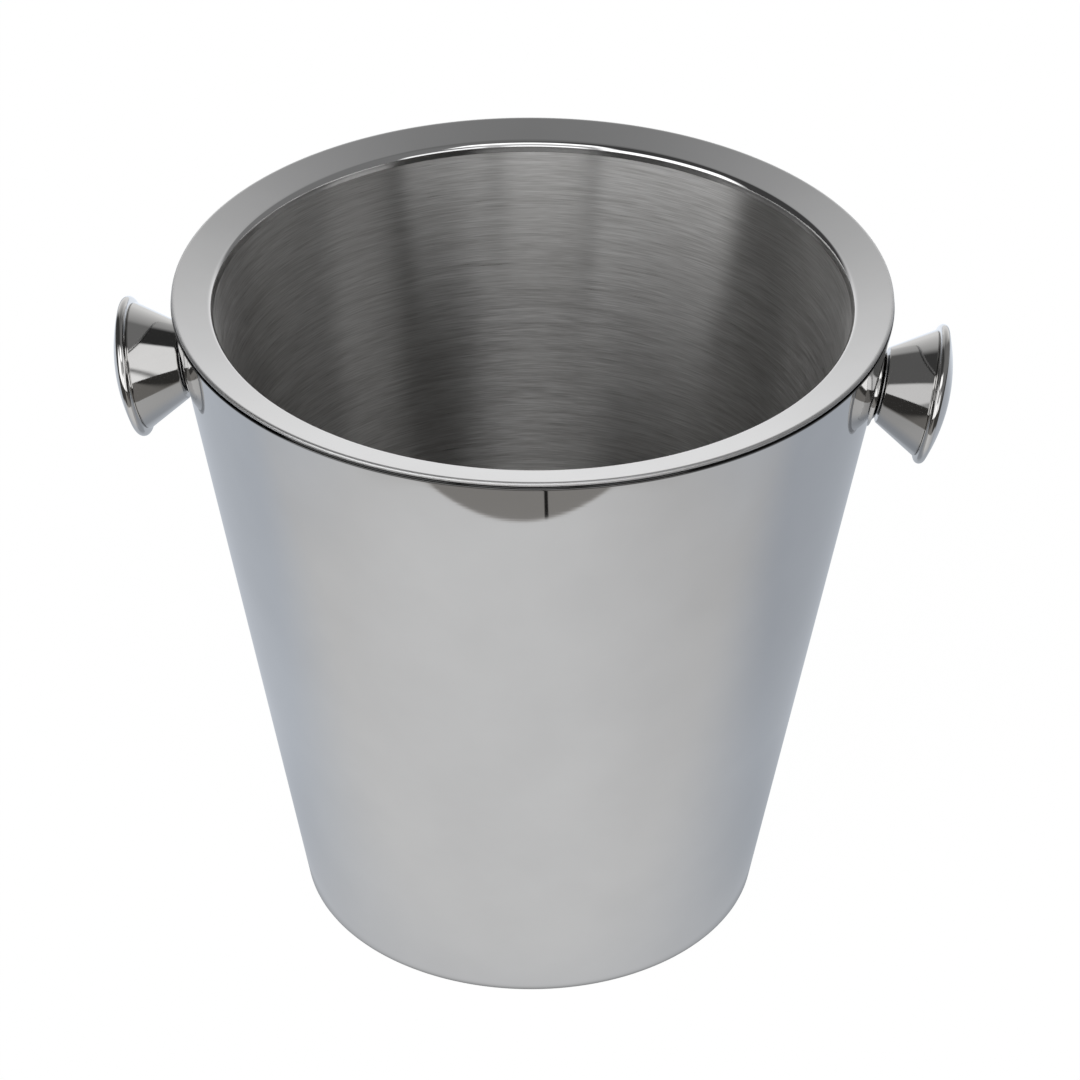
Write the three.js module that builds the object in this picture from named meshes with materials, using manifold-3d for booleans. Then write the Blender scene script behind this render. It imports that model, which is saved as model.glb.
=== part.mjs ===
// Double-walled champagne bucket with two screwed-on trumpet knobs.
// Millimetres, +Z up. Origin: centre of the ring that the bucket stands on. Knob axes lie in the XZ plane.

import * as THREE from 'three';
import { mergeVertices } from 'three/addons/utils/BufferGeometryUtils.js';
import Module from 'manifold-3d';

const wasm = await Module();
wasm.setup();

// ---- driving dimensions ----------------------------------------------------------------------

const GAP = 0.3; // clearance between pieces that touch on the real bucket
const SHEET = 1.0; // outer wall, collar and base sheet
const LINER_SHEET = 0.8;

// outer wall, a cone
const FOOT_RADIUS = 65.6; // where the cone meets the resting plane
const TAPER = 0.1792; // radius gained per millimetre of height
const WALL_TOP = 194.6;
const FOOT_FILLET = 3.0;
const FOOT_FLANGE_INNER = 57.5; // free edge of the turned-in foot

// rim collar
const RIM_RADIUS = 100.4;
const RIM_EDGE_ROUND = 0.7;
const RIM_EDGE_HEIGHT = 195.6; // centre of the rounded outer edge
const RIM_SLOPE = THREE.MathUtils.degToRad(14); // the top face falls towards the opening
const RIM_UNDERCUT = THREE.MathUtils.degToRad(-60); // the rounded edge turns in under itself this far
const LIP_ROUND = 2.0;
const LIP_CENTRE_RADIUS = 90.92;
const LIP_END = 191.2; // lower edge of the inner lip
const SPIGOT_END = 188.2; // lower edge of the skirt inside the outer wall

// liner
const LINER_FLOOR = 11.0;
const LINER_CORNER = 6.0;

// base plate, pressed upwards in the middle
const PLATE_RADIUS = 61.5;
const PLATE_STEP_OUTER = 56.0;
const PLATE_STEP_INNER = 52.5;
const PLATE_RISE = 3.0;
const PLATE_BEAD_RADIUS = 30.0;
const PLATE_BEAD_HALF = 2.5;
const PLATE_BEAD_RISE = 0.8;

// knobs: s runs outward along the knob's axis from the surface of the outer wall
const KNOB_HEIGHT = 169.6; // where the axis meets the wall
const ROSETTE_RADIUS = 12.2;
const ROSETTE_EDGE = 0.45;
const ROSETTE_FACE_RADIUS = 9.8;
const ROSETTE_FACE = 1.2;
const ROSETTE_DISH_RADIUS = 10.6; // control point of the hollow curve between edge and face
const ROSETTE_DISH = 0.7;
const ROSETTE_BACK = -2.0; // before it is cut to fit the wall
const SPACER_RADIUS = 8.6;
const SPACER_THICK = 0.4;
const BELL_SMALL_RADIUS = 10.9;
const BELL_LARGE_RADIUS = 17.9;
const BELL_LENGTH = 12.3;
const BELL_SHEET = 1.0;
const BELL_HEEL = 0.5; // chamfer of the small end
const BEAD_RADIUS = 19.9;
const BEAD_ROUND = 1.3;
const BEAD_TURN = THREE.MathUtils.degToRad(60); // where the bead runs into the dome
const DOME_RISE = 3.9;
const INSERT_RADIUS = 5.5;
const INSERT_LENGTH = 6.5;

// fasteners behind the wall, thread size M5
const STUD_RADIUS = 2.5;
const STUD_CHAMFER = 0.5;
const STUD_SHORT = 1.0; // how far the stud stops short of the insert's end
const STUD_TAIL = 0.9; // thread left beyond the nut
const HOLE_RADIUS = STUD_RADIUS + GAP;
const DOUBLER_WIDTH = 26.0;
const DOUBLER_CORNER = 4.0;
const DOUBLER_THICK = 1.0;
const DOUBLER_BLANK = 12.0; // depth of the block that the doubler is cut from
const WASHER_RADIUS = 4.6;
const WASHER_THICK = 1.0;
const WASHER_SPLIT = THREE.MathUtils.degToRad(16);
const NUT_ACROSS_FLATS = 8.0;
const NUT_THICK = 3.2;
const NUT_CHAMFER = 0.5;
const DRILL_REACH = 4.0; // the bore in the wall runs this far each way from its surface
const CUT_OVERRUN = 1.0; // a cutting tool passes this far beyond both faces of a nut

// facets
const SHELL_SEGMENTS = 60;
const KNOB_SEGMENTS = 24;
const BORE_SEGMENTS = 16;
const ARC_STEPS = 2; // straight steps in each arc of an outline
const FINE_ARC_STEPS = 3;
const DOUBLER_CORNER_STEPS = 3;
const WASHER_STEPS = 10;
const WELD_DISTANCE = 1e-4; // vertices closer than this are one

// ---- values that follow from the dimensions ---------------------------------------------------

const WALL_ANGLE = Math.atan(TAPER);
const WALL_STRETCH = 1 / Math.cos(WALL_ANGLE); // horizontal thickness of a sheet of unit thickness
const LIP_CENTRE_HEIGHT = RIM_EDGE_HEIGHT + RIM_EDGE_ROUND / Math.cos(RIM_SLOPE)
  - (RIM_RADIUS - RIM_EDGE_ROUND - LIP_CENTRE_RADIUS) * Math.tan(RIM_SLOPE)
  - LIP_ROUND / Math.cos(RIM_SLOPE);

const SPACER_START = ROSETTE_FACE + GAP;
const BELL_START = SPACER_START + SPACER_THICK + GAP;
const BELL_END = BELL_START + BELL_LENGTH;
const INSERT_START = BELL_START + BELL_SHEET + GAP;
const CAP_BACK = BELL_END + GAP;
const BEAD_CENTRE = CAP_BACK + BEAD_ROUND;
const STUD_OUTER_END = INSERT_START + INSERT_LENGTH - STUD_SHORT;
const DOUBLER_FACE = -SHEET - GAP;
const WASHER_FACE = DOUBLER_FACE - DOUBLER_THICK - GAP;
const NUT_FACE = WASHER_FACE - WASHER_THICK - GAP;
const STUD_INNER_END = NUT_FACE - NUT_THICK - STUD_TAIL;

function wallRadius(z) {
  return FOOT_RADIUS + TAPER * z;
}

function linerRadius(z) {
  const lipRadius = LIP_CENTRE_RADIUS - LIP_ROUND;
  return lipRadius - TAPER * (LIP_CENTRE_HEIGHT - z);
}

// ---- materials --------------------------------------------------------------------------------

function steel(name, color, roughness) {
  return new THREE.MeshStandardMaterial({ name, color, roughness, metalness: 1 });
}

const mirrorSteel = steel('mirror_steel', 0xc4c8cc, 0.06);
const brushedSteel = steel('brushed_steel', 0xb4b4b2, 0.32);
const knobSteel = steel('knob_steel', 0xb9b6b2, 0.08);
const plainSteel = steel('plain_steel', 0x9fa1a3, 0.4);
const zincSteel = steel('zinc_plated_steel', 0xa9adb0, 0.45);

// ---- geometry helpers -------------------------------------------------------------------------

// Turns an outline in (radius, height) about the Z axis.
function turned(outline, segments, arcSteps = ARC_STEPS) {
  const points = outline.getPoints(arcSteps);
  if (THREE.ShapeUtils.area(points) < 0) {
    points.reverse();
  }
  return new THREE.LatheGeometry(points, segments).rotateX(Math.PI / 2);
}

// A cylinder along Z between two heights.
function rod(radius, low, high, segments) {
  const outline = new THREE.Path();
  outline.moveTo(0, low);
  outline.lineTo(radius, low);
  outline.lineTo(radius, high);
  outline.lineTo(0, high);
  return turned(outline, segments);
}

function toSolid(geometry) {
  const bare = geometry.clone();
  bare.deleteAttribute('normal');
  bare.deleteAttribute('uv');
  const merged = mergeVertices(bare, WELD_DISTANCE);
  const triangles = [];
  for (let i = 0; i < merged.index.count; i += 3) {
    const [a, b, c] = [merged.index.getX(i), merged.index.getX(i + 1), merged.index.getX(i + 2)];
    if (a !== b && b !== c && c !== a) {
      triangles.push(a, b, c);
    }
  }
  return new wasm.Manifold(new wasm.Mesh({
    numProp: 3,
    vertProperties: new Float32Array(merged.attributes.position.array),
    triVerts: new Uint32Array(triangles),
  }));
}

function toGeometry(solid) {
  const mesh = solid.getMesh();
  const geometry = new THREE.BufferGeometry();
  geometry.setAttribute('position', new THREE.BufferAttribute(mesh.vertProperties, 3));
  geometry.setIndex(new THREE.BufferAttribute(mesh.triVerts, 1));
  return geometry;
}

function piece(name, geometry, material) {
  const mesh = new THREE.Mesh(geometry, material.clone());
  mesh.name = name;
  return mesh;
}

// ---- knob placement ---------------------------------------------------------------------------

const KNOB_ANGLES = { right: 0, left: Math.PI };

// The knob's frame: +Z is its axis, square to the outer wall, and z = 0 is on the wall's surface.
function knobMatrix() {
  const matrix = new THREE.Matrix4().makeRotationY(Math.PI / 2 + WALL_ANGLE);
  return matrix.setPosition(wallRadius(KNOB_HEIGHT), 0, KNOB_HEIGHT);
}

// A full cone with the outer wall's slope, its surface standing off by the given distance.
function wallCone(standoff) {
  const shift = standoff * WALL_STRETCH;
  const outline = new THREE.Path();
  outline.moveTo(0, 0);
  outline.lineTo(wallRadius(0) + shift, 0);
  outline.lineTo(wallRadius(WALL_TOP) + shift, WALL_TOP);
  outline.lineTo(0, WALL_TOP);
  return turned(outline, SHELL_SEGMENTS);
}

function wallConeInKnobFrame(standoff) {
  return toSolid(wallCone(standoff).applyMatrix4(knobMatrix().invert()));
}

// ---- vessel -----------------------------------------------------------------------------------

function outerShell() {
  const thick = SHEET * WALL_STRETCH;
  const filletCentre = wallRadius(FOOT_FILLET) - FOOT_FILLET * WALL_STRETCH;
  const edgeRound = SHEET / 2;
  const outline = new THREE.Path();
  outline.moveTo(FOOT_FLANGE_INNER, 0);
  outline.lineTo(filletCentre, 0);
  outline.absarc(filletCentre, FOOT_FILLET, FOOT_FILLET, -Math.PI / 2, -WALL_ANGLE, false);
  outline.lineTo(wallRadius(WALL_TOP - edgeRound), WALL_TOP - edgeRound);
  outline.absarc(wallRadius(WALL_TOP) - thick / 2, WALL_TOP - edgeRound, edgeRound, 0, Math.PI, false);
  outline.absarc(filletCentre, FOOT_FILLET, FOOT_FILLET - SHEET, -WALL_ANGLE, -Math.PI / 2, true);
  outline.lineTo(FOOT_FLANGE_INNER, SHEET);
  outline.lineTo(FOOT_FLANGE_INNER, 0);
  let solid = toSolid(turned(outline, SHELL_SEGMENTS));
  for (const angle of Object.values(KNOB_ANGLES)) {
    const drill = rod(HOLE_RADIUS, -DRILL_REACH, DRILL_REACH, BORE_SEGMENTS);
    drill.applyMatrix4(knobMatrix());
    drill.rotateZ(angle);
    solid = solid.subtract(toSolid(drill));
  }
  return toGeometry(solid);
}

function basePlate() {
  const low = SHEET + GAP;
  const high = low + PLATE_RISE;
  const underside = [
    [PLATE_RADIUS, low],
    [PLATE_STEP_OUTER, low],
    [PLATE_STEP_INNER, high],
    [PLATE_BEAD_RADIUS + PLATE_BEAD_HALF, high],
    [PLATE_BEAD_RADIUS, high + PLATE_BEAD_RISE],
    [PLATE_BEAD_RADIUS - PLATE_BEAD_HALF, high],
    [0, high],
  ];
  const outline = new THREE.Path();
  outline.moveTo(0, high + SHEET);
  for (const [radius, height] of [...underside].reverse().slice(1)) {
    outline.lineTo(radius, height + SHEET);
  }
  for (const [radius, height] of underside) {
    outline.lineTo(radius, height);
  }
  return turned(outline, SHELL_SEGMENTS);
}

function innerLiner() {
  const top = LIP_END - GAP;
  const cornerHeight = LINER_FLOOR + LINER_CORNER;
  const cornerCentre = linerRadius(cornerHeight) - LINER_CORNER * WALL_STRETCH;
  const outerCorner = LINER_CORNER + LINER_SHEET;
  const thick = LINER_SHEET * WALL_STRETCH;
  const outline = new THREE.Path();
  outline.moveTo(0, LINER_FLOOR - LINER_SHEET);
  outline.lineTo(cornerCentre, LINER_FLOOR - LINER_SHEET);
  outline.absarc(cornerCentre, cornerHeight, outerCorner, -Math.PI / 2, -WALL_ANGLE, false);
  outline.lineTo(linerRadius(top) + thick, top);
  outline.lineTo(linerRadius(top), top);
  outline.absarc(cornerCentre, cornerHeight, LINER_CORNER, -WALL_ANGLE, -Math.PI / 2, true);
  outline.lineTo(0, LINER_FLOOR);
  return turned(outline, SHELL_SEGMENTS, FINE_ARC_STEPS);
}

function rimCollar() {
  const edgeCentre = RIM_RADIUS - RIM_EDGE_ROUND;
  const flat = Math.PI / 2 + RIM_SLOPE; // direction of the top face's outward normal
  const clearOfWall = (SHEET + GAP) * WALL_STRETCH;
  const seamHeight = RIM_EDGE_HEIGHT + RIM_EDGE_ROUND * Math.sin(RIM_UNDERCUT);
  const spigotTop = wallRadius(seamHeight) - clearOfWall;
  const spigotLow = wallRadius(SPIGOT_END) - clearOfWall;
  const innerSpigotTop = spigotTop - SHEET;
  const undersideHeight = LIP_CENTRE_HEIGHT + (LIP_ROUND - SHEET) / Math.cos(RIM_SLOPE)
    + (innerSpigotTop - LIP_CENTRE_RADIUS) * Math.tan(RIM_SLOPE);
  const outline = new THREE.Path();
  outline.moveTo(spigotLow, SPIGOT_END);
  outline.lineTo(spigotTop, seamHeight);
  outline.absarc(edgeCentre, RIM_EDGE_HEIGHT, RIM_EDGE_ROUND, RIM_UNDERCUT, flat, false);
  outline.absarc(LIP_CENTRE_RADIUS, LIP_CENTRE_HEIGHT, LIP_ROUND, flat, Math.PI, false);
  outline.lineTo(linerRadius(LIP_END), LIP_END);
  outline.lineTo(linerRadius(LIP_END) + SHEET, LIP_END);
  outline.absarc(LIP_CENTRE_RADIUS, LIP_CENTRE_HEIGHT, LIP_ROUND - SHEET, Math.PI, flat, true);
  outline.lineTo(innerSpigotTop, undersideHeight);
  outline.lineTo(spigotLow - SHEET, SPIGOT_END);
  outline.lineTo(spigotLow, SPIGOT_END);
  return turned(outline, SHELL_SEGMENTS);
}

// ---- knob pieces, each turned about the knob's axis -------------------------------------------

function rosette() {
  const outline = new THREE.Path();
  outline.moveTo(HOLE_RADIUS, ROSETTE_BACK);
  outline.lineTo(ROSETTE_RADIUS, ROSETTE_BACK);
  outline.lineTo(ROSETTE_RADIUS, ROSETTE_EDGE);
  outline.quadraticCurveTo(ROSETTE_DISH_RADIUS, ROSETTE_DISH, ROSETTE_FACE_RADIUS, ROSETTE_FACE);
  outline.lineTo(HOLE_RADIUS, ROSETTE_FACE);
  outline.lineTo(HOLE_RADIUS, ROSETTE_BACK);
  const blank = toSolid(turned(outline, KNOB_SEGMENTS));
  return toGeometry(blank.subtract(wallConeInKnobFrame(GAP)));
}

function spacer() {
  const outline = new THREE.Path();
  outline.moveTo(HOLE_RADIUS, SPACER_START);
  outline.lineTo(SPACER_RADIUS, SPACER_START);
  outline.lineTo(SPACER_RADIUS, SPACER_START + SPACER_THICK);
  outline.lineTo(HOLE_RADIUS, SPACER_START + SPACER_THICK);
  outline.lineTo(HOLE_RADIUS, SPACER_START);
  return turned(outline, KNOB_SEGMENTS);
}

function bell() {
  const innerStart = BELL_START + BELL_SHEET;
  const outline = new THREE.Path();
  outline.moveTo(HOLE_RADIUS, BELL_START);
  outline.lineTo(BELL_SMALL_RADIUS - BELL_HEEL, BELL_START);
  outline.lineTo(BELL_SMALL_RADIUS, BELL_START + BELL_HEEL);
  outline.lineTo(BELL_LARGE_RADIUS, BELL_END);
  outline.lineTo(BELL_LARGE_RADIUS - BELL_SHEET, BELL_END);
  outline.lineTo(BELL_SMALL_RADIUS - BELL_SHEET, innerStart);
  outline.lineTo(HOLE_RADIUS, innerStart);
  outline.lineTo(HOLE_RADIUS, BELL_START);
  return turned(outline, KNOB_SEGMENTS);
}

// A shallow dome with a rounded bead around its edge.
function cap() {
  const beadRadius = BEAD_RADIUS - BEAD_ROUND;
  const domeStart = BEAD_CENTRE + BEAD_ROUND * Math.sin(BEAD_TURN);
  const domeEdge = beadRadius + BEAD_ROUND * Math.cos(BEAD_TURN);
  const innerEdge = BELL_LARGE_RADIUS - BELL_SHEET;
  const outline = new THREE.Path();
  outline.moveTo(innerEdge, CAP_BACK);
  outline.lineTo(beadRadius, CAP_BACK);
  outline.absarc(beadRadius, BEAD_CENTRE, BEAD_ROUND, -Math.PI / 2, BEAD_TURN, false);
  outline.quadraticCurveTo(domeEdge / 2, domeStart + DOME_RISE, 0, domeStart + DOME_RISE);
  outline.lineTo(0, domeStart + DOME_RISE - SHEET);
  outline.quadraticCurveTo(innerEdge / 2, domeStart + DOME_RISE - SHEET, innerEdge, CAP_BACK + BEAD_ROUND);
  outline.lineTo(innerEdge, CAP_BACK);
  const points = outline.getPoints(FINE_ARC_STEPS);
  const start = points.findIndex((point) => point.x === 0);
  // The outline is opened on the axis, so that it starts and ends there.
  const opened = [...points.slice(start + 1), ...points.slice(1, start + 1)];
  if (THREE.ShapeUtils.area(opened) < 0) {
    opened.reverse();
  }
  return new THREE.LatheGeometry(opened, KNOB_SEGMENTS).rotateX(Math.PI / 2);
}

function insert() {
  const outline = new THREE.Path();
  outline.moveTo(HOLE_RADIUS, INSERT_START);
  outline.lineTo(INSERT_RADIUS, INSERT_START);
  outline.lineTo(INSERT_RADIUS, INSERT_START + INSERT_LENGTH);
  outline.lineTo(HOLE_RADIUS, INSERT_START + INSERT_LENGTH);
  outline.lineTo(HOLE_RADIUS, INSERT_START);
  return turned(outline, BORE_SEGMENTS);
}

function stud() {
  const outline = new THREE.Path();
  outline.moveTo(0, STUD_INNER_END);
  outline.lineTo(STUD_RADIUS - STUD_CHAMFER, STUD_INNER_END);
  outline.lineTo(STUD_RADIUS, STUD_INNER_END + STUD_CHAMFER);
  outline.lineTo(STUD_RADIUS, STUD_OUTER_END - STUD_CHAMFER);
  outline.lineTo(STUD_RADIUS - STUD_CHAMFER, STUD_OUTER_END);
  outline.lineTo(0, STUD_OUTER_END);
  return turned(outline, BORE_SEGMENTS);
}

// A square plate with round corners, curved to lie against the inside of the outer wall.
function doubler() {
  const half = DOUBLER_WIDTH / 2;
  const reach = half - DOUBLER_CORNER;
  const shape = new THREE.Shape();
  shape.absarc(reach, reach, DOUBLER_CORNER, 0, Math.PI / 2, false);
  shape.absarc(-reach, reach, DOUBLER_CORNER, Math.PI / 2, Math.PI, false);
  shape.absarc(-reach, -reach, DOUBLER_CORNER, Math.PI, Math.PI * 1.5, false);
  shape.absarc(reach, -reach, DOUBLER_CORNER, Math.PI * 1.5, Math.PI * 2, false);
  const options = { depth: DOUBLER_BLANK, bevelEnabled: false, curveSegments: DOUBLER_CORNER_STEPS };
  const block = new THREE.ExtrudeGeometry(shape, options);
  block.translate(0, 0, -DOUBLER_BLANK);
  return toGeometry(toSolid(block)
    .intersect(wallConeInKnobFrame(DOUBLER_FACE))
    .subtract(wallConeInKnobFrame(DOUBLER_FACE - DOUBLER_THICK))
    .subtract(toSolid(rod(HOLE_RADIUS, -DOUBLER_BLANK, DOUBLER_BLANK, BORE_SEGMENTS))));
}

// A spring washer, split across one side.
function lockWasher() {
  const shape = new THREE.Shape();
  shape.absarc(0, 0, WASHER_RADIUS, WASHER_SPLIT / 2, Math.PI * 2 - WASHER_SPLIT / 2, false);
  shape.absarc(0, 0, HOLE_RADIUS, Math.PI * 2 - WASHER_SPLIT / 2, WASHER_SPLIT / 2, true);
  const options = { depth: WASHER_THICK, bevelEnabled: false, curveSegments: WASHER_STEPS };
  const ring = new THREE.ExtrudeGeometry(shape, options);
  return ring.translate(0, 0, WASHER_FACE - WASHER_THICK);
}

// A hexagon nut with its corners turned off at both faces.
function hexNut() {
  const cornerRadius = NUT_ACROSS_FLATS / 2 / Math.cos(Math.PI / 6);
  const low = NUT_FACE - NUT_THICK;
  const blank = new THREE.CylinderGeometry(cornerRadius, cornerRadius, NUT_THICK, 6);
  blank.rotateX(Math.PI / 2).translate(0, 0, low + NUT_THICK / 2);
  const face = cornerRadius - NUT_CHAMFER;
  const outline = new THREE.Path();
  outline.moveTo(0, low);
  outline.lineTo(face, low);
  outline.lineTo(cornerRadius, low + NUT_CHAMFER / 2);
  outline.lineTo(cornerRadius, NUT_FACE - NUT_CHAMFER / 2);
  outline.lineTo(face, NUT_FACE);
  outline.lineTo(0, NUT_FACE);
  return toGeometry(toSolid(blank)
    .intersect(toSolid(turned(outline, BORE_SEGMENTS)))
    .subtract(toSolid(rod(HOLE_RADIUS, low - CUT_OVERRUN, NUT_FACE + CUT_OVERRUN, BORE_SEGMENTS))));
}

// ---- assembly ---------------------------------------------------------------------------------

const bucket = new THREE.Group();
bucket.add(
  piece('outer_shell', outerShell(), mirrorSteel),
  piece('base_plate', basePlate(), plainSteel),
  piece('inner_liner', innerLiner(), brushedSteel),
  piece('rim_collar', rimCollar(), mirrorSteel),
);

const KNOB_PIECES = [
  ['knob_rosette', rosette(), knobSteel],
  ['knob_spacer', spacer(), plainSteel],
  ['knob_bell', bell(), knobSteel],
  ['knob_cap', cap(), knobSteel],
  ['knob_threaded_insert', insert(), plainSteel],
  ['knob_stud', stud(), zincSteel],
  ['wall_doubler', doubler(), plainSteel],
  ['lock_washer', lockWasher(), zincSteel],
  ['hex_nut', hexNut(), zincSteel],
];

for (const [side, angle] of Object.entries(KNOB_ANGLES)) {
  const knob = new THREE.Group();
  knob.applyMatrix4(knobMatrix());
  for (const [name, geometry, material] of KNOB_PIECES) {
    knob.add(piece(`${side}_${name}`, geometry, material));
  }
  const place = new THREE.Group();
  place.rotation.z = angle;
  place.add(knob);
  bucket.add(place);
}

export default bucket;
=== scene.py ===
import math

import bpy
import numpy as np
from mathutils import Matrix, Vector


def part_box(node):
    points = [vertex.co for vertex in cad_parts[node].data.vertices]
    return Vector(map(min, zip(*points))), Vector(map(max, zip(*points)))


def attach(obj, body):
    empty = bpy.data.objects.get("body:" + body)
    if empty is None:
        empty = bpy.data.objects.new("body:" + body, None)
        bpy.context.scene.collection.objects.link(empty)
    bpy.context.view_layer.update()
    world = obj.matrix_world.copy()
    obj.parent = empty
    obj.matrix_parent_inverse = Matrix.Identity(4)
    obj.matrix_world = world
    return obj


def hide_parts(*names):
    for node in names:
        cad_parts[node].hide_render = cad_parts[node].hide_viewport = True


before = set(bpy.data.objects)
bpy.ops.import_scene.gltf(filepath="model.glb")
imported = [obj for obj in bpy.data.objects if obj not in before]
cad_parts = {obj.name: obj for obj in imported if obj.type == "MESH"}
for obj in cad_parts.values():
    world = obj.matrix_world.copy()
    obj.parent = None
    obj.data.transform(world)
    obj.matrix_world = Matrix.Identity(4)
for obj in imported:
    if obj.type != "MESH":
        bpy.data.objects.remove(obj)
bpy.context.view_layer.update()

# Double-walled champagne bucket. Metres, +Z up, knob axes in the XZ plane.

MM = 0.001

# ---- sizes that the frame's boxes don't hold --------------------------------------------------

TAPER = 0.1792  # radius gained per unit of height, on the outer wall and on the liner
SHEET = 1.0 * MM
LINER_SHEET = 0.8 * MM
FOOT_FILLET = 3.0 * MM
FOOT_FLANGE = 57.5 * MM
RIM_EDGE_ROUND = 0.7 * MM
RIM_SLOPE = math.radians(14)
LIP_ROUND = 2.0 * MM
LIP_CENTRE_RADIUS = 90.92 * MM
LINER_CORNER = 6.0 * MM
WALL_EDGE_ROUND = 0.15 * MM
RIM_UNDERCUT = math.radians(-60)  # the collar's rounded edge turns in under itself this far
PLATE_RISE = 3.0 * MM
PLATE_STEP = (52.5 * MM, 56.0 * MM)  # where the plate steps up, from inside to outside
PLATE_RING_RADIUS = 30.0 * MM
PLATE_RING_HALF = 2.5 * MM
PLATE_RING_RISE = 0.8 * MM
SEAM_DROP = 0.12 * MM  # the wall ends this much lower, which leaves a visible seam under the rim
SEAM_GAP = 0.06 * MM  # what is left open between pieces that are welded or pressed together

# ---- sizes read from the frame ----------------------------------------------------------------


def low(node):
    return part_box(node)[0]


def high(node):
    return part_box(node)[1]


def centre(node):
    return (low(node) + high(node)) / 2


WALL_ANGLE = math.atan(TAPER)
WALL_STRETCH = 1 / math.cos(WALL_ANGLE)
WALL_TOP = high("outer_shell").z
RIM_RADIUS = high("rim_collar").x
RIM_TOP = high("rim_collar").z
SPIGOT_END = low("rim_collar").z
LINER_TOP = high("inner_liner").z
LINER_FLOOR = low("inner_liner").z + LINER_SHEET
PLATE_RADIUS = high("base_plate").x
PLATE_LOW = low("base_plate").z

RIM_EDGE_CENTRE = RIM_RADIUS - RIM_EDGE_ROUND
RIM_EDGE_HEIGHT = RIM_TOP - RIM_EDGE_ROUND
LIP_CENTRE_HEIGHT = (
    RIM_EDGE_HEIGHT
    + (RIM_EDGE_ROUND - LIP_ROUND) / math.cos(RIM_SLOPE)
    - (RIM_EDGE_CENTRE - LIP_CENTRE_RADIUS) * math.tan(RIM_SLOPE)
)
# The wall's widest ring in the frame is half a sheet below its top.
FOOT_RADIUS = high("outer_shell").x - TAPER * (WALL_TOP - SHEET / 2)


def wall_radius(z):
    return FOOT_RADIUS + TAPER * z


def liner_radius(z):
    return LIP_CENTRE_RADIUS - LIP_ROUND - TAPER * (LIP_CENTRE_HEIGHT - z)


# ---- outlines in (radius, height) -------------------------------------------------------------

GUARD = 0.3 * MM  # distance from a corner to the point that keeps round shading there


def arc(centre_radius, centre_height, radius, start, end, steps):
    """Points along an arc, angles in radians from the outward direction."""
    angles = np.linspace(start, end, steps + 1)
    return [
        (centre_radius + radius * math.cos(a), centre_height + radius * math.sin(a))
        for a in angles
    ]


def span(start, end, step):
    """Inner points of a straight stretch, with a guard close to each end."""
    start, end = np.array(start), np.array(end)
    length = np.linalg.norm(end - start)
    if length < 3 * GUARD:
        return []
    places = np.arange(GUARD, length - GUARD, min(step, length - 2 * GUARD))
    places = [*places, length - GUARD]
    return [tuple(start + (end - start) * place / length) for place in places]


def joined(*stretches, step=4 * MM):
    """One outline from corner points and arcs, with straight stretches between them."""
    points = []
    for stretch in stretches:
        stretch = stretch if isinstance(stretch, list) else [stretch]
        if points:
            points += span(points[-1], stretch[0], step)
        points += stretch
    return points


def bezier(start, control, end, steps):
    """Points along a quadratic curve."""
    start, control, end = (np.array(p) for p in (start, control, end))
    return [
        tuple((1 - t) ** 2 * start + 2 * t * (1 - t) * control + t * t * end)
        for t in np.linspace(0, 1, steps + 1)
    ]


# ---- meshes -----------------------------------------------------------------------------------

SHARP_ANGLE = math.radians(35)
ON_AXIS = 1e-9


def add_mesh(name, vertices, faces):
    mesh = bpy.data.meshes.new(name)
    mesh.from_pydata([tuple(v) for v in vertices], [], faces)
    mesh.validate()
    mesh.polygons.foreach_set("use_smooth", [True] * len(mesh.polygons))
    mesh.set_sharp_from_angle(angle=SHARP_ANGLE)
    obj = bpy.data.objects.new(name, mesh)
    bpy.context.scene.collection.objects.link(obj)
    return obj


def turned_shape(outline, segments, closed):
    """Vertices and faces of an outline turned about Z. A point on the axis becomes one vertex."""
    outline = list(outline)
    ring = outline + ([outline[0]] if closed else [])
    area = sum(a[0] * b[1] - b[0] * a[1] for a, b in zip(ring, ring[1:]))
    if not closed:
        first, last = outline[0], outline[-1]
        area += last[0] * first[1] - first[0] * last[1]
    if area < 0:
        outline.reverse()
    vertices, rows = [], []
    for radius, height in outline:
        if radius < ON_AXIS:
            rows.append([len(vertices)] * segments)
            vertices.append((0, 0, height))
            continue
        rows.append(list(range(len(vertices), len(vertices) + segments)))
        for k in range(segments):
            a = 2 * math.pi * k / segments
            vertices.append((radius * math.cos(a), radius * math.sin(a), height))
    if closed:
        rows.append(rows[0])
    faces = []
    for row, after in zip(rows, rows[1:]):
        for k in range(segments):
            n = (k + 1) % segments
            corners = [row[k], row[n], after[n], after[k]]
            face = [c for i, c in enumerate(corners) if c != corners[i - 1]]
            if len(face) > 2:
                faces.append(face)
    return vertices, faces


def turned(name, outline, segments, closed=True):
    return add_mesh(name, *turned_shape(outline, segments, closed))


def on_root(obj, slot, *nodes):
    """The piece rides on the one body and stands for the CAD nodes. The slot argument is not used.
    """
    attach(obj, "root")
    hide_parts(*nodes)


# ---- vessel -----------------------------------------------------------------------------------

SHELL_SEGMENTS = 288
PLATE_SEGMENTS = 192
PLATE_POINTS = 78


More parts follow.
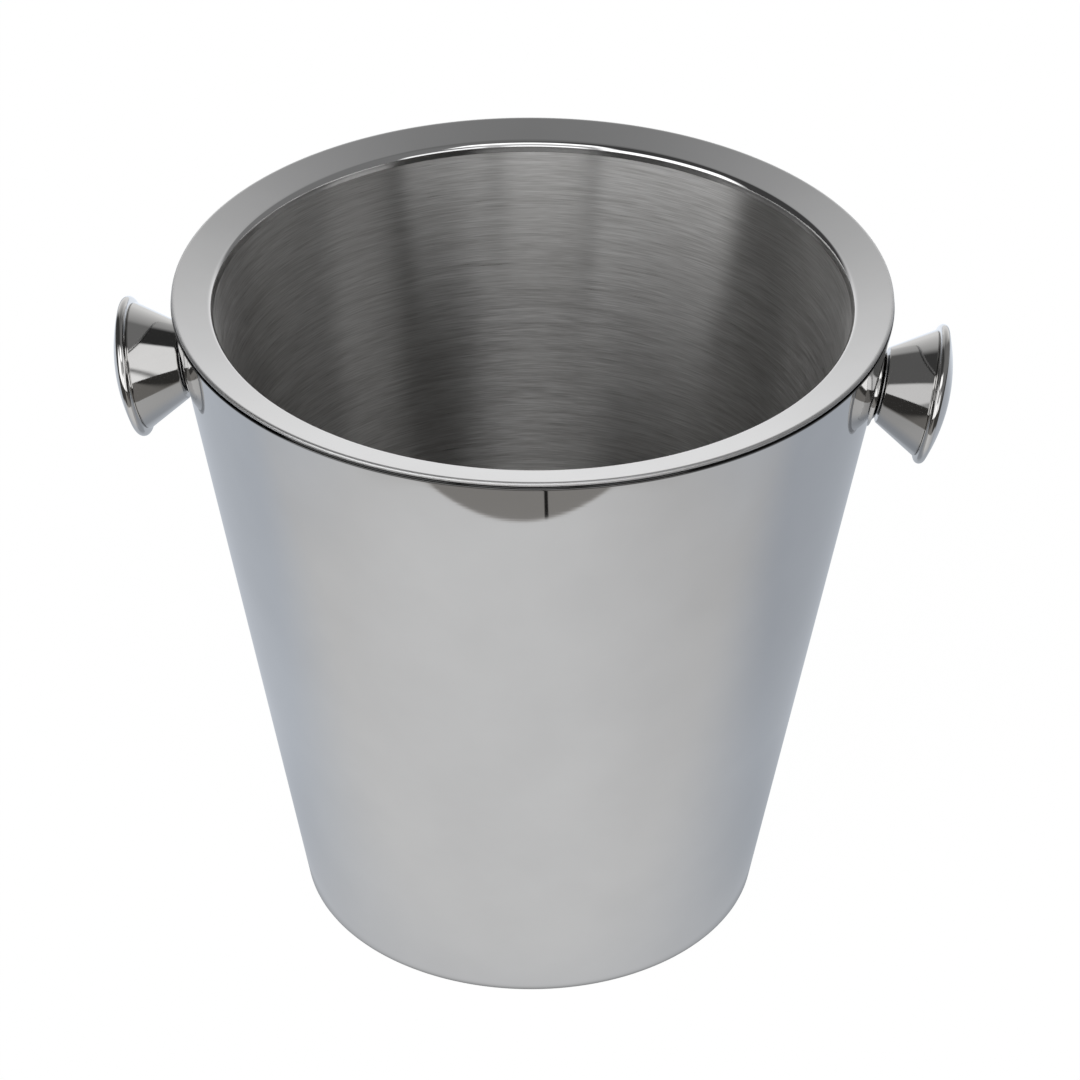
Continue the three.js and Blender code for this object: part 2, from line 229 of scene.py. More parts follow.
def make_outer_shell():
    fillet = wall_radius(FOOT_FILLET) - FOOT_FILLET * WALL_STRETCH
    edge = WALL_EDGE_ROUND
    edge_height = WALL_TOP - SEAM_DROP - edge
    inner = wall_radius(edge_height) - SHEET * WALL_STRETCH
    down = -math.pi / 2
    outline = joined(
        (FOOT_FLANGE, 0),
        arc(fillet, FOOT_FILLET, FOOT_FILLET, down, -WALL_ANGLE, 10),
        arc(wall_radius(edge_height) - edge, edge_height, edge, -WALL_ANGLE, math.pi / 2, 6),
        arc(inner + edge, edge_height, edge, math.pi / 2, math.pi, 4),
        arc(fillet, FOOT_FILLET, FOOT_FILLET - SHEET, -WALL_ANGLE, down, 6),
        (FOOT_FLANGE, SHEET),
    )
    return turned("outer_shell_skin", outline, SHELL_SEGMENTS)


def make_rim_collar():
    flat = math.pi / 2 + RIM_SLOPE
    clear = (SHEET + SEAM_GAP) * WALL_STRETCH
    seam = RIM_EDGE_HEIGHT + RIM_EDGE_ROUND * math.sin(RIM_UNDERCUT)
    spigot_top = (wall_radius(seam) - clear, seam)
    spigot_low = (wall_radius(SPIGOT_END) - clear, SPIGOT_END)
    lip_end = LINER_TOP + SEAM_GAP
    inner_top = spigot_top[0] - SHEET
    underside = (
        LIP_CENTRE_HEIGHT
        + (LIP_ROUND - SHEET) / math.cos(RIM_SLOPE)
        + (inner_top - LIP_CENTRE_RADIUS) * math.tan(RIM_SLOPE)
    )
    outline = joined(
        spigot_low,
        spigot_top,
        arc(RIM_EDGE_CENTRE, RIM_EDGE_HEIGHT, RIM_EDGE_ROUND, RIM_UNDERCUT, flat, 14),
        arc(LIP_CENTRE_RADIUS, LIP_CENTRE_HEIGHT, LIP_ROUND, flat, math.pi, 14),
        (liner_radius(lip_end), lip_end),
        (liner_radius(lip_end) + SHEET, lip_end),
        arc(LIP_CENTRE_RADIUS, LIP_CENTRE_HEIGHT, LIP_ROUND - SHEET, math.pi, flat, 6),
        (inner_top, underside),
        (spigot_low[0] - SHEET, SPIGOT_END),
        step=1.5 * MM,
    )
    return turned("rim_collar_skin", outline, SHELL_SEGMENTS)


def make_liner():
    corner_height = LINER_FLOOR + LINER_CORNER
    corner = liner_radius(corner_height) - LINER_CORNER * WALL_STRETCH
    outer = LINER_CORNER + LINER_SHEET
    thick = LINER_SHEET * WALL_STRETCH
    down = -math.pi / 2
    outline = joined(
        (0, LINER_FLOOR - LINER_SHEET),
        arc(corner, corner_height, outer, down, -WALL_ANGLE, 8),
        (liner_radius(LINER_TOP) + thick, LINER_TOP),
        (liner_radius(LINER_TOP), LINER_TOP),
        arc(corner, corner_height, LINER_CORNER, -WALL_ANGLE, down, 16),
        (0, LINER_FLOOR),
    )
    return turned("liner_skin", outline, SHELL_SEGMENTS, closed=False)


def plate_underside(radius):
    """Height of the plate's underside: a flat edge, a smooth step up and a ring in the middle."""
    step = np.interp(radius, PLATE_STEP, [1.0, 0.0])
    z = PLATE_LOW + PLATE_RISE * (0.5 - 0.5 * math.cos(math.pi * step))
    off_ring = abs(radius - PLATE_RING_RADIUS) / PLATE_RING_HALF
    if off_ring < 1:
        z += PLATE_RING_RISE * (0.5 + 0.5 * math.cos(math.pi * off_ring))
    return z


def make_base_plate():
    under = [(r, plate_underside(r)) for r in np.linspace(0, PLATE_RADIUS, PLATE_POINTS)]
    upper = [(r, z + SHEET) for r, z in reversed(under)]
    return turned("base_plate_skin", under + upper, PLATE_SEGMENTS, closed=False)


# ---- knobs ------------------------------------------------------------------------------------

KNOB_SEGMENTS = 144
SPACER_PLACE = 1.7 * MM  # from the wall's surface to the spacer's middle, along the axis
FIT_PASSES = 6  # steps that bring a vertex onto the wall

ROSETTE_RADIUS = 12.2 * MM
ROSETTE_EDGE = 0.35 * MM
ROSETTE_FACE_RADIUS = 9.8 * MM
ROSETTE_FACE = 1.5 * MM
ROSETTE_DISH = (10.6 * MM, 0.7 * MM)  # control point of the hollow between edge and face
ROSETTE_ROUND = 0.2 * MM
ROSETTE_BACK = 0.01 * MM  # what is lower than this belongs to the face on the wall
BORE = 2.8 * MM
BELL_START = 2.2 * MM
BELL_LENGTH = 12.3 * MM
BELL_SMALL = 10.9 * MM
BELL_LARGE = 17.9 * MM
BELL_HEEL = 0.45 * MM
BELL_LIP = 0.35 * MM
BELL_BEVEL = 0.1 * MM
CAP_GAP = 0.1 * MM  # from the bell's end to the back of the cap
BEAD_GAP = 0.3 * MM  # from the bell's end to the bead
BEAD_RADIUS = 19.9 * MM
BEAD_ROUND = 1.3 * MM
BEAD_START = math.radians(-75)
BEAD_END = math.radians(60)  # where the bead runs into the dome
DOME_RISE = 3.9 * MM


def knob_matrix(side):
    """The knob's own frame: +Z along its axis, origin on the outer wall's surface."""
    stud = centre(f"{side}_knob_stud")
    spacer = centre(f"{side}_knob_spacer")
    axis = (spacer - stud).normalized()
    across = Vector((0, 1, 0))
    up = across.cross(axis)
    rotation = Matrix((up, across, axis)).transposed().to_4x4()
    return Matrix.Translation(spacer - axis * SPACER_PLACE) @ rotation


def turned_on_knob(name, outline, side, closed=True, fit_below=None):
    """A turned knob piece. Vertices lower than fit_below are slid along the axis onto the wall."""
    vertices, faces = turned_shape(outline, KNOB_SEGMENTS, closed)
    matrix = knob_matrix(side)
    axis = matrix.to_3x3() @ Vector((0, 0, 1))
    placed = []
    for x, y, s in vertices:
        point = matrix @ Vector((x, y, s))
        if fit_below is not None and s < fit_below:
            for _ in range(FIT_PASSES):
                miss = math.hypot(point.x, point.y) - wall_radius(point.z) - SEAM_GAP
                point -= axis * miss * math.cos(WALL_ANGLE)
        placed.append(tuple(point))
    return add_mesh(name, placed, faces)


def make_rosette(side):
    edge = ROSETTE_ROUND
    outline = joined(
        (BORE, 0),
        (ROSETTE_RADIUS, 0),
        arc(ROSETTE_RADIUS - edge, ROSETTE_EDGE - edge, edge, 0, math.pi * 0.45, 4),
        bezier(
            (ROSETTE_RADIUS - 2 * edge, ROSETTE_EDGE),
            ROSETTE_DISH,
            (ROSETTE_FACE_RADIUS, ROSETTE_FACE - edge),
            16,
        ),
        (ROSETTE_FACE_RADIUS - edge, ROSETTE_FACE),
        (BORE, ROSETTE_FACE),
        step=1 * MM,
    )
    return turned_on_knob(f"{side}_rosette", outline, side, fit_below=ROSETTE_BACK)


def make_bell(side):
    start = BELL_START
    end = BELL_START + BELL_LENGTH
    outline = joined(
        (BORE, start),
        arc(BELL_SMALL - BELL_HEEL, start + BELL_HEEL, BELL_HEEL, -math.pi / 2, -math.pi / 6, 6),
        (BELL_LARGE, end - BELL_LIP),
        (BELL_LARGE - BELL_BEVEL, end),
        (BELL_LARGE - SHEET, end),
        (BELL_SMALL - SHEET, start + SHEET),
        (BORE, start + SHEET),
        step=1 * MM,
    )
    return turned_on_knob(f"{side}_bell", outline, side)


def make_cap(side):
    bell_end = BELL_START + BELL_LENGTH
    back = bell_end + CAP_GAP
    ring = BEAD_RADIUS - BEAD_ROUND
    bead_height = bell_end + BEAD_GAP + BEAD_ROUND
    dome_start = bead_height + BEAD_ROUND * math.sin(BEAD_END)
    dome_edge = ring + BEAD_ROUND * math.cos(BEAD_END)
    inner = BELL_LARGE - SHEET
    dome_top = dome_start + DOME_RISE
    dome = bezier((dome_edge, dome_start), (dome_edge / 2, dome_top), (0, dome_top), 28)
    inside = bezier(
        (0, dome_top - SHEET),
        (inner / 2, dome_top - SHEET),
        (inner, back + BEAD_ROUND),
        12,
    )
    outline = [
        *inside,
        *span(inside[-1], (inner, back), 1 * MM),
        (inner, back),
        *span((inner, back), (BELL_LARGE, back), 1 * MM),
        (BELL_LARGE, back),
        *arc(ring, bead_height, BEAD_ROUND, BEAD_START, BEAD_END, 14),
        *dome[1:],
    ]
    return turned_on_knob(f"{side}_cap", outline, side, closed=False)


# ---- shader helpers ---------------------------------------------------------------------------


class Nodes:
    """Builds a node tree with short calls."""

    def __init__(self, tree):
        self.tree = tree
        tree.nodes.clear()

    def add(self, kind, **settings):
        node = self.tree.nodes.new(kind)
        for key, value in settings.items():
            setattr(node, key, value)
        return node

    def put(self, value, socket):
        if isinstance(value, bpy.types.NodeSocket):
            self.tree.links.new(value, socket)
        else:
            socket.default_value = value

    def math(self, operation, a, b=0.0):
        node = self.add("ShaderNodeMath", operation=operation)
        for value, socket in zip((a, b), node.inputs):
            self.put(value, socket)
        return node.outputs[0]

    def vector(self, operation, a, b=None, scale=None):
        node = self.add("ShaderNodeVectorMath", operation=operation)
        self.put(a, node.inputs[0])
        if b is not None:
            self.put(b, node.inputs[1])
        if scale is not None:
            self.put(scale, node.inputs["Scale"])
        return node.outputs["Value" if operation in ("DOT_PRODUCT", "LENGTH") else "Vector"]

    def split(self, vector):
        node = self.add("ShaderNodeSeparateXYZ")
        self.put(vector, node.inputs[0])
        return node.outputs

    def combine(self, x, y, z):
        node = self.add("ShaderNodeCombineXYZ")
        for value, socket in zip((x, y, z), node.inputs):
            self.put(value, socket)
        return node.outputs[0]

    def noise(self, vector, scale, detail, roughness):
        node = self.add("ShaderNodeTexNoise", noise_dimensions="3D")
        self.put(vector, node.inputs["Vector"])
        node.inputs["Scale"].default_value = scale
        node.inputs["Detail"].default_value = detail
        node.inputs["Roughness"].default_value = roughness
        return node.outputs[0]

    def remap(self, value, low_in, high_in, low_out, high_out, smooth=False):
        node = self.add("ShaderNodeMapRange")
        node.interpolation_type = "SMOOTHSTEP" if smooth else "LINEAR"
        numbers = (value, low_in, high_in, low_out, high_out)
        for number, socket in zip(numbers, node.inputs):
            self.put(number, socket)
        return node.outputs[0]

    def rise(self, value, start, end):
        """A smooth step from nothing to one."""
        return self.remap(value, start, end, 0.0, 1.0, smooth=True)

    def fall(self, value, start, end):
        """A smooth step from one to nothing."""
        return self.remap(value, start, end, 1.0, 0.0, smooth=True)

    def mix_value(self, factor, a, b):
        node = self.add("ShaderNodeMix", data_type="FLOAT")
        for value, socket in zip((factor, a, b), (node.inputs[0], node.inputs[2], node.inputs[3])):
            self.put(value, socket)
        return node.outputs[0]

    def mix_color(self, factor, a, b):
        node = self.add("ShaderNodeMix", data_type="RGBA")
        self.put(factor, node.inputs[0])
        self.put(a, node.inputs[6])
        self.put(b, node.inputs[7])
        return node.outputs[2]

    def bump(self, height, distance, strength, normal=None):
        node = self.add("ShaderNodeBump")
        node.inputs["Strength"].default_value = strength
        node.inputs["Distance"].default_value = distance
        self.put(height, node.inputs["Height"])
        if normal is not None:
            self.put(normal, node.inputs["Normal"])
        return node.outputs[0]

    def for_camera(self, seen, mirrored):
        """One shader for what the camera sees itself and another for all other rays."""
        path = self.add("ShaderNodeLightPath")
        chosen = self.add("ShaderNodeMixShader")
        inputs = (path.outputs["Is Camera Ray"], mirrored, seen)
        for value, socket in zip(inputs, chosen.inputs):
            self.put(value, socket)
        return chosen.outputs[0]


def new_material(name):
    material = bpy.data.materials.new(name)
    material.use_nodes = True
    nodes = Nodes(material.node_tree)
    shader = nodes.add("ShaderNodeBsdfPrincipled")
    output = nodes.add("ShaderNodeOutputMaterial")
    nodes.tree.links.new(shader.outputs[0], output.inputs[0])
    shader.inputs["Metallic"].default_value = 1.0
    return material, nodes, shader


def around(nodes, position, turns, per_metre):
    """Coordinates for marks round the Z axis: turns sets their length, per_metre their pitch."""
    x, y, z = nodes.split(position)
    ring = nodes.vector("NORMALIZE", nodes.combine(x, y, 0.0))
    ring = nodes.vector("SCALE", ring, scale=turns)
    rx, ry, _ = nodes.split(ring)
    return nodes.combine(rx, ry, nodes.math("MULTIPLY", z, per_metre))


def gray(value, tint=(1.0, 1.0, 1.0)):
    return (*(value * t for t in tint), 1.0)


# ---- materials --------------------------------------------------------------------------------


# painted shade in the seam between the collar's edge and the wall: its gray and where it lies
SEAM_SHADE_GRAY = 0.20
SEAM_RADII = (0.970 * RIM_RADIUS, 0.975 * RIM_RADIUS)
SEAM_UNDER = (RIM_EDGE_HEIGHT - 0.6 * MM, RIM_EDGE_HEIGHT - 0.2 * MM)
SEAM_OVER = (WALL_TOP - 0.7 * MM, WALL_TOP - 0.4 * MM)
EDGE_RADII = (RIM_EDGE_CENTRE - 0.1 * MM, RIM_EDGE_CENTRE + 0.2 * MM)
SATIN_TURNS = 5.0
SATIN_PITCH = 1500.0


def in_seam(nodes, position):
    """One in the narrow seam between the collar's edge and the wall, where shade is painted into the
    colour.
    """
    x, y, z = nodes.split(position)
    radius = nodes.vector("LENGTH", nodes.combine(x, y, 0.0))
    outside = nodes.remap(radius, *SEAM_RADII, 0.0, 1.0)
    under = nodes.remap(z, *SEAM_UNDER, 1.0, 0.0)
    over = nodes.remap(z, *SEAM_OVER, 0.0, 1.0)
    return nodes.math("MULTIPLY", outside, nodes.math("MULTIPLY", under, over))


def on_rim_edge(nodes, position):
    """One on the collar's turned-down outer edge, which is brushed softer than its top."""
    x, y, _ = nodes.split(position)
    radius = nodes.vector("LENGTH", nodes.combine(x, y, 0.0))
    return nodes.remap(radius, *EDGE_RADII, 0.0, 1.0)


def mirror_material(name, light, dark, roughness, tint, wave=0.05 * MM, soft_edge=0.0):
    """Polished sheet: faint polishing lines round the axis, soft haze and a trace of unevenness."""
    material, nodes, shader = new_material(name)
    position = nodes.add("ShaderNodeTexCoord").outputs["Object"]
    polished = around(nodes, position, turns=6.0, per_metre=1600.0)
    lines = nodes.noise(polished, scale=1.0, detail=3.0, roughness=0.6)
    haze = nodes.noise(position, scale=38.0, detail=3.0, roughness=0.5)
    swell = nodes.noise(position, scale=16.0, detail=1.0, roughness=0.4)
    tone = nodes.remap(haze, 0.3, 0.7, 0.0, 1.0)
    base = nodes.mix_color(tone, gray(dark, tint), gray(light, tint))
    # painted shade: the seam under the collar's edge is darkened in the base colour
    base = nodes.mix_color(in_seam(nodes, position), base, gray(SEAM_SHADE_GRAY))
    nodes.put(base, shader.inputs["Base Color"])
    polish = nodes.remap(lines, 0.35, 0.75, roughness * 0.75, roughness * 1.5)
    edge = nodes.math("MULTIPLY", on_rim_edge(nodes, position), soft_edge)
    nodes.put(nodes.math("ADD", polish, edge), shader.inputs["Roughness"])
    uneven = nodes.bump(swell, wave, strength=0.12)
    fine = nodes.bump(lines, 0.004 * MM, strength=0.15, normal=uneven)
    nodes.put(fine, shader.inputs["Normal"])
    return material


def brushed_material():
    """Liner finish: fine scratches of many lengths, all running round the axis."""
    material, nodes, shader = new_material("brushed_steel")
    position = nodes.add("ShaderNodeTexCoord").outputs["Object"]
    short = around(nodes, position, turns=9.0, per_metre=4200.0)
    long = around(nodes, position, turns=3.5, per_metre=900.0)
    fine = nodes.noise(short, scale=1.0, detail=2.0, roughness=0.6)
    broad = nodes.noise(long, scale=1.0, detail=3.0, roughness=0.6)
    scratches = nodes.mix_value(0.4, fine, broad)
    tone = nodes.remap(scratches, 0.35, 0.65, 0.0, 1.0)
    color = nodes.mix_color(tone, gray(0.46, (1.0, 0.985, 0.97)), gray(0.72, (1.0, 0.995, 0.985)))
    nodes.put(color, shader.inputs["Base Color"])
    nodes.put(nodes.remap(scratches, 0.3, 0.7, 0.27, 0.37), shader.inputs["Roughness"])
    shader.inputs["Anisotropic"].default_value = 1.0
    shader.inputs["Anisotropic Rotation"].default_value = 0.25
    tangent = nodes.add("ShaderNodeTangent", direction_type="RADIAL", axis="Z")
    nodes.put(tangent.outputs[0], shader.inputs["Tangent"])
    nodes.put(nodes.bump(scratches, 0.02 * MM, strength=0.22), shader.inputs["Normal"])
    return material


def satin_material(name, light, dark, roughness, tint):
    """Spun or machined steel that was never polished."""
    material, nodes, shader = new_material(name)
    position = nodes.add("ShaderNodeTexCoord").outputs["Object"]
    x, y, z = nodes.split(position)
    radius = nodes.vector("LENGTH", nodes.combine(x, y, 0.0))
    flat = nodes.vector("NORMALIZE", nodes.combine(x, y, 0.0))
    ring = nodes.vector("SCALE", flat, scale=SATIN_TURNS)
    rx, ry, _ = nodes.split(ring)
    across = nodes.math("MULTIPLY", nodes.math("ADD", radius, z), SATIN_PITCH)
    lines = nodes.noise(nodes.combine(rx, ry, across), scale=1.0, detail=2.0, roughness=0.6)
    blotch = nodes.noise(position, scale=60.0, detail=3.0, roughness=0.6)
    tone = nodes.mix_value(0.5, lines, blotch)
    shade = nodes.remap(tone, 0.35, 0.65, 0.0, 1.0)
    color = nodes.mix_color(shade, gray(dark, tint), gray(light, tint))
    nodes.put(color, shader.inputs["Base Color"])
    finish = nodes.remap(tone, 0.3, 0.7, roughness * 0.8, roughness * 1.25)
    nodes.put(finish, shader.inputs["Roughness"])
    nodes.put(nodes.bump(lines, 0.03 * MM, strength=0.4), shader.inputs["Normal"])
    return material


# ---- stage ------------------------------------------------------------------------------------

# The camera sees white paper. The polished steel sees a lit table in a dim room.
FLOOR_RADIUS = 1.6
FLOOR_SEGMENTS = 96
FLOOR_HEIGHT = -0.05 * MM
PAPER_GRAY = 0.85
PAPER_GLOW = 1.02
PAPER_GLOW_SHARE = 0.97

TABLE_HALF_WIDTH = 0.33
TABLE_SIDE_BLUR = 0.02
TABLE_FRONT = -0.235
TABLE_BOW = 1.05  # how strongly the table's front edge curves towards the bucket, per metre
TABLE_BACK = 0.40  # the table ends here and the lit paper behind it begins
TABLE_BACK_BLUR = 0.1
TABLE_SIDE_TINT = (0.94, 1.0, 1.09)
FRONT_BLUR = (1 * MM, 40 * MM)  # of the table's front edge, in the middle and at the sides
LIGHT_POOL = (-0.03, -0.16, 0.0)
POOL_LEVELS = (0.79, 0.63)
SHADE_NEAR_FOOT = 0.20
SHADE_BESIDE = (0.08, 0.18)  # left and right of the bucket
CONTACT_SHADE = 0.15
CONTACT_REACH = 3 * MM
SWEEP_LEVELS = (1.08, 0.50)  # the paper behind the table, in the middle and at the sides

ROOM_TINT = (1.04, 1.0, 0.95)
ROOM_FLOOR_LEVELS = (0.28, 0.06)  # in front of the table, in the middle and at the sides
DARK_STRIPE_PLACE = 0.0312  # painted shade: a dark stripe off the table's front, seen only by the steel
DARK_STRIPE_HALF_WIDTH = 0.0030
DARK_STRIPE_END = -0.285
DARK_STRIPE_FADE = 10 * MM
DARK_STRIPE_LEVEL = 0.06


def face_up(vertices, face):
    a, b, c = (Vector(vertices[i]) for i in face[:3])
    return (b - a).cross(c - a).z > 0


def beside_bucket(nodes, y):
    """One beside and behind the bucket, nothing in front of it."""
    return nodes.rise(y, -0.09, 0.02)


def table_level(nodes, place):
    """Brightness of the table: a pool of light in front, shade round the foot, a bright back."""
    x, y, _ = nodes.split(place)
    pool = nodes.vector("LENGTH", nodes.vector("SUBTRACT", place, LIGHT_POOL))
    lit = nodes.remap(pool, 0.05, 0.30, *POOL_LEVELS, smooth=True)
    lit = nodes.math("ADD", lit, nodes.remap(x, 0.0, 0.2, 0.0, -0.03, smooth=True))
    from_axis = nodes.vector("LENGTH", place)
    near = nodes.remap(from_axis, 0.07, 0.12, SHADE_NEAR_FOOT, 0.0)
    loss = nodes.math("ADD", nodes.remap(x, -0.15, 0.15, *SHADE_BESIDE), near)
    shade = nodes.math("SUBTRACT", 1.0, nodes.math("MULTIPLY", beside_bucket(nodes, y), loss))
    lit = nodes.math("MULTIPLY", lit, shade)
    contact_ring = (FOOT_RADIUS - CONTACT_REACH, FOOT_RADIUS + CONTACT_REACH)
    contact = nodes.remap(from_axis, *contact_ring, CONTACT_SHADE, 1.0, smooth=True)
    lit = nodes.math("MULTIPLY", lit, contact)
    far = nodes.remap(nodes.math("ABSOLUTE", x), 0.20, 0.34, *SWEEP_LEVELS, smooth=True)
    return nodes.mix_value(nodes.rise(y, 0.22, TABLE_BACK), lit, far)


def room_floor_level(nodes, place):
    """Brightness of the room's floor beyond the table, with a painted dark stripe of shade across
    it.
    """
    x, y, _ = nodes.split(place)
    # painted shade: a dark stripe in the floor's glow, which only the steel reflects
    from_stripe = nodes.math("ABSOLUTE", nodes.math("SUBTRACT", x, DARK_STRIPE_PLACE))
    clear = nodes.rise(from_stripe, DARK_STRIPE_HALF_WIDTH * 0.5, DARK_STRIPE_HALF_WIDTH)
    beyond_end = nodes.remap(y, DARK_STRIPE_END, DARK_STRIPE_END + DARK_STRIPE_FADE, 1.0, 0.0)
    clear = nodes.math("MAXIMUM", clear, beyond_end)
    dim = nodes.remap(nodes.math("ABSOLUTE", x), 0.14, 0.20, *ROOM_FLOOR_LEVELS, smooth=True)
    return nodes.math("MULTIPLY", dim, nodes.remap(clear, 0.0, 1.0, DARK_STRIPE_LEVEL, 1.0))


def beyond_table(nodes, place):
    """One where the table has ended at its front or its sides."""
    x, y, _ = nodes.split(place)
    across = nodes.math("ABSOLUTE", x)
    side_edge = (TABLE_HALF_WIDTH - TABLE_SIDE_BLUR, TABLE_HALF_WIDTH + TABLE_SIDE_BLUR)
    sides = nodes.rise(across, *side_edge)
    behind = nodes.fall(y, TABLE_BACK - TABLE_BACK_BLUR, TABLE_BACK + TABLE_BACK_BLUR)
    bow = nodes.math("MULTIPLY", nodes.math("MULTIPLY", x, x), TABLE_BOW)
    from_edge = nodes.math("SUBTRACT", nodes.math("SUBTRACT", y, bow), TABLE_FRONT)
    blur = nodes.remap(across, 0.10, 0.20, *FRONT_BLUR, smooth=True)
    front = nodes.fall(nodes.math("DIVIDE", from_edge, blur), -1.0, 1.0)
    return nodes.math("MAXIMUM", nodes.math("MULTIPLY", sides, behind), front)


def table_tint(nodes, place):
    """Neutral in front of the bucket, cooler beside and behind it."""
    x, y, _ = nodes.split(place)
    far_out = nodes.rise(nodes.math("ABSOLUTE", x), 0.17, 0.34)
    cool = nodes.math("MAXIMUM", far_out, beside_bucket(nodes, y))
    return nodes.mix_color(cool, gray(1.0), gray(1.0, TABLE_SIDE_TINT))


def white_paper(nodes):
    paper = nodes.add("ShaderNodeBsdfDiffuse")
    paper.inputs["Color"].default_value = gray(PAPER_GRAY)
    glow = nodes.add("ShaderNodeEmission")
    glow.inputs["Color"].default_value = gray(1.0)
    glow.inputs["Strength"].default_value = PAPER_GLOW
    mixed = nodes.add("ShaderNodeMixShader")
    for value, socket in zip((PAPER_GLOW_SHARE, paper.outputs[0], glow.outputs[0]), mixed.inputs):
        nodes.put(value, socket)
    return mixed.outputs[0]


def make_floor():
    vertices, faces = turned_shape([(0, 0), (FLOOR_RADIUS, 0)], FLOOR_SEGMENTS, closed=False)
    faces = [face if face_up(vertices, face) else face[::-1] for face in faces]
    floor = add_mesh("floor", vertices, faces)
    floor.location.z = FLOOR_HEIGHT
    material = bpy.data.materials.new("floor_paper")
    material.use_nodes = True
    nodes = Nodes(material.node_tree)
    place = nodes.add("ShaderNodeTexCoord").outputs["Object"]
    beyond = beyond_table(nodes, place)
    color = nodes.mix_color(beyond, table_tint(nodes, place), gray(1.0, ROOM_TINT))
    level = nodes.mix_value(beyond, table_level(nodes, place), room_floor_level(nodes, place))
    glow = nodes.add("ShaderNodeEmission")
    nodes.put(color, glow.inputs["Color"])
    nodes.put(level, glow.inputs["Strength"])
    output = nodes.add("ShaderNodeOutputMaterial")
    nodes.put(nodes.for_camera(white_paper(nodes), glow.outputs[0]), output.inputs[0])
    floor.data.materials.append(material)


# Degrees from here on: azimuth 0 is the front, positive to the right, elevation 0 the horizon.
ROOM_LEVELS = (0.07, 0.26)  # left and right walls
CENTRE_FRONT = ((-26, 24), (-10, 40), 0.55, 7)  # a pale wall, in the same form as the panels
BACKGROUND_LEVELS = (1.16, 0.22)  # low down and high up
PANELS = (  # sides, heights, brightness, softness of the edges
    ((-74, -20), (-12, 38), 2.1, 4),  # left softbox
    ((19, 50), (-12, 22), 1.7, 3),  # right softbox
    ((-30, 38), (40, 63), 2.2, 4),  # high in front
    ((-16, 14), (-12, 18), 2.2, 5),  # low in front
)


def panel(nodes, azimuth, elevation, sides, heights, level, soft):
    """A soft-edged bright rectangle."""
    left = nodes.rise(azimuth, sides[0] - soft, sides[0] + soft)
    right = nodes.fall(azimuth, sides[1] - soft, sides[1] + soft)
    low_edge = nodes.rise(elevation, heights[0] - soft, heights[0] + soft)
    high_edge = nodes.fall(elevation, heights[1] - soft, heights[1] + soft)
    across = nodes.math("MULTIPLY", left, right)
    upright = nodes.math("MULTIPLY", low_edge, high_edge)
    return nodes.math("MULTIPLY", nodes.math("MULTIPLY", across, upright), level)


def background(nodes, azimuth, elevation, x):
    """The lit paper behind the bucket, brightest low down."""
    sweep = nodes.remap(elevation, 8.0, 60.0, *BACKGROUND_LEVELS)
    turn = nodes.math("ABSOLUTE", azimuth)
    from_left = nodes.rise(turn, 126.0, 148.0)
    from_right = nodes.rise(turn, 128.0, 152.0)
    reach = nodes.mix_value(nodes.remap(x, -0.05, 0.05, 0.0, 1.0), from_left, from_right)
    return nodes.math("MULTIPLY", sweep, reach)


def make_world():
    """White to the camera. The steel sees a dim room, the lit background and the panels."""
    world = bpy.data.worlds.new("studio")
    bpy.context.scene.world = world
    world.use_nodes = True
    nodes = Nodes(world.node_tree)
    x, y, z = nodes.split(nodes.add("ShaderNodeTexCoord").outputs["Generated"])
    azimuth = nodes.math("DEGREES", nodes.math("ARCTAN2", x, nodes.math("MULTIPLY", y, -1.0)))
    elevation = nodes.math("DEGREES", nodes.math("ARCSINE", z))
    room = nodes.remap(x, -0.25, 0.35, *ROOM_LEVELS, smooth=True)
    level = nodes.math("ADD", room, panel(nodes, azimuth, elevation, *CENTRE_FRONT))
    level = nodes.math("MAXIMUM", level, background(nodes, azimuth, elevation, x))
    for shape in PANELS:
        level = nodes.math("MAXIMUM", level, panel(nodes, azimuth, elevation, *shape))
    studio = nodes.add("ShaderNodeBackground")
    nodes.put(level, studio.inputs["Strength"])
    white = nodes.add("ShaderNodeBackground")
    white.inputs["Color"].default_value = gray(1.0)
    output = nodes.add("ShaderNodeOutputWorld")
    nodes.put(nodes.for_camera(white.outputs[0], studio.outputs[0]), output.inputs[0])


# ---- camera -----------------------------------------------------------------------------------

CAMERA_AZIMUTH = math.radians(3.2)
CAMERA_ELEVATION = math.radians(30.36)
CAMERA_DISTANCE = 1.391
CAMERA_LENS = 166.67  # millimetres
CAMERA_SENSOR = 36  # millimetres
CAMERA_AIM_DROP = 0.08 * MM  # below the rim's top
CAMERA_REACH = 50
CAMERA_TURNS = (math.radians(-0.10), math.radians(-2.87), math.radians(-0.34))  # yaw, pitch, roll


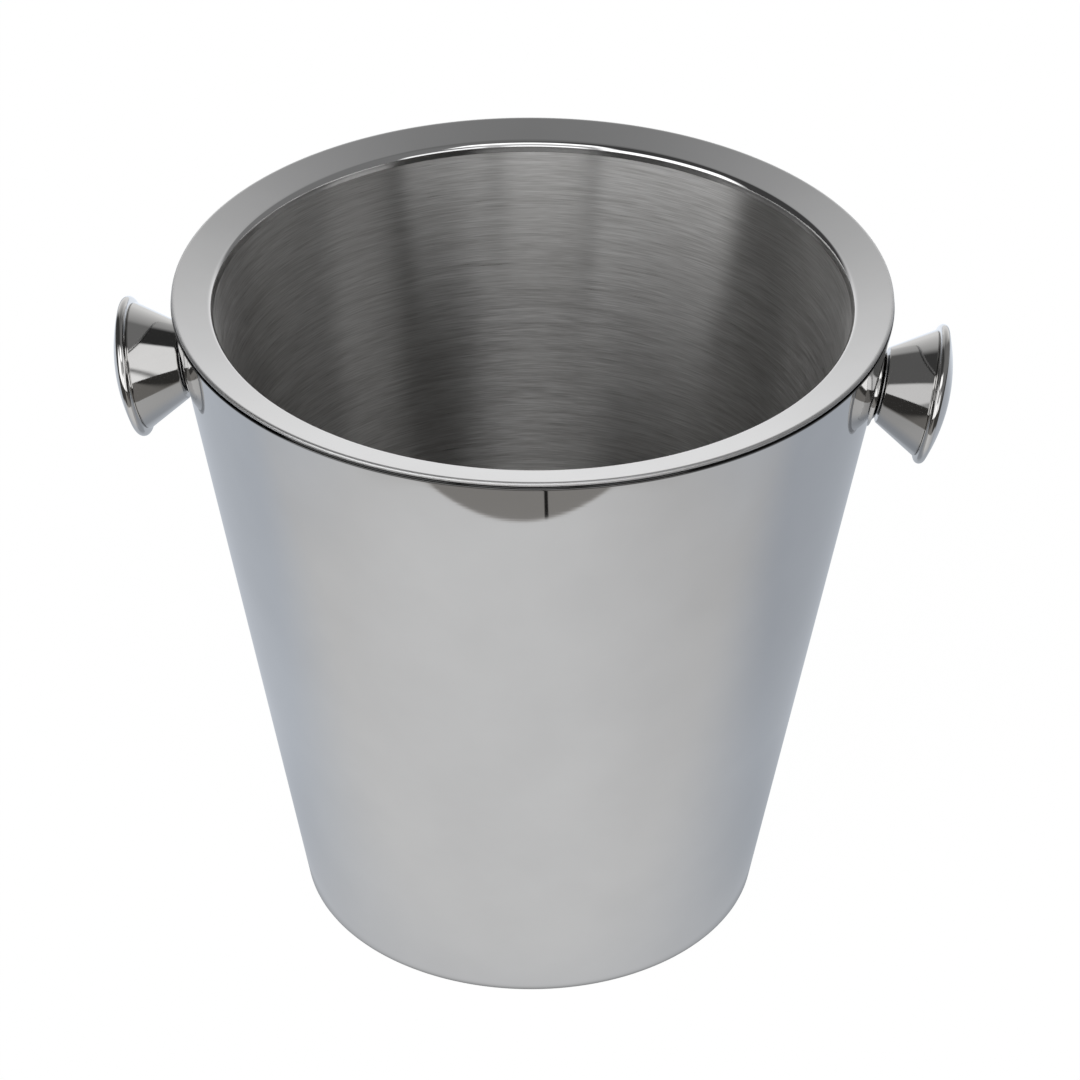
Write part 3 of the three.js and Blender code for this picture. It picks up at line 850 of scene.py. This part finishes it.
def make_camera():
    aim = Vector((0, 0, RIM_TOP - CAMERA_AIM_DROP))
    back = Vector((
        math.sin(CAMERA_AZIMUTH) * math.cos(CAMERA_ELEVATION),
        -math.cos(CAMERA_AZIMUTH) * math.cos(CAMERA_ELEVATION),
        math.sin(CAMERA_ELEVATION),
    ))
    forward = -back
    right = forward.cross(Vector((0, 0, 1))).normalized()
    up = right.cross(forward)
    yaw, pitch, roll = CAMERA_TURNS
    turn = Matrix.Rotation(yaw, 3, up)
    forward, right = turn @ forward, turn @ right
    turn = Matrix.Rotation(pitch, 3, right)
    forward, up = turn @ forward, turn @ up
    turn = Matrix.Rotation(roll, 3, forward)
    right, up = turn @ right, turn @ up
    data = bpy.data.cameras.new("camera")
    data.lens = CAMERA_LENS
    data.sensor_width = CAMERA_SENSOR
    data.clip_end = CAMERA_REACH
    camera = bpy.data.objects.new("camera", data)
    bpy.context.scene.collection.objects.link(camera)
    camera.matrix_world = Matrix.Translation(aim + back * CAMERA_DISTANCE) @ Matrix(
        (right, up, -forward)
    ).transposed().to_4x4()
    bpy.context.scene.camera = camera


# ---- build ------------------------------------------------------------------------------------

STEEL_TINT = (1.0, 1.0, 1.005)
KNOB_TINT = (1.01, 1.0, 0.985)
PLAIN_TINT = (1.0, 1.0, 1.0)
ZINC_TINT = (0.98, 1.0, 1.03)

# light, dark, roughness, tint
mirror = mirror_material("mirror_steel", 0.64, 0.61, 0.025, STEEL_TINT)
rim = mirror_material("rim_steel", 0.75, 0.72, 0.05, STEEL_TINT, wave=0.03 * MM, soft_edge=0.4)
knob = mirror_material("knob_steel", 0.62, 0.58, 0.06, KNOB_TINT, wave=0.02 * MM)
brushed = brushed_material()
base = satin_material("base_steel", 0.60, 0.50, 0.30, PLAIN_TINT)
plain = satin_material("plain_steel", 0.56, 0.44, 0.38, PLAIN_TINT)
zinc = satin_material("zinc_steel", 0.62, 0.50, 0.42, ZINC_TINT)

for make, node, slot, material in (
    (make_outer_shell, "outer_shell", "mirror_steel", mirror),
    (make_rim_collar, "rim_collar", "rim_steel", rim),
    (make_liner, "inner_liner", "brushed_steel", brushed),
    (make_base_plate, "base_plate", "base_steel", base),
):
    piece = make()
    piece.data.materials.append(material)
    on_root(piece, slot, node)

for side in ("right", "left"):
    for make, node in (
        (make_rosette, "knob_rosette"),
        (make_bell, "knob_bell"),
        (make_cap, "knob_cap"),
    ):
        piece = make(side)
        piece.data.materials.append(knob)
        on_root(piece, "knob_steel", f"{side}_{node}")
    for node, material in (
        ("knob_spacer", plain),
        ("knob_threaded_insert", plain),
        ("wall_doubler", plain),
        ("knob_stud", zinc),
        ("lock_washer", zinc),
        ("hex_nut", zinc),
    ):
        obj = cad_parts[f"{side}_{node}"]
        obj.data.materials.clear()
        obj.data.materials.append(material)

make_floor()
make_world()
make_camera()
bpy.context.scene.view_settings.view_transform = "Standard"
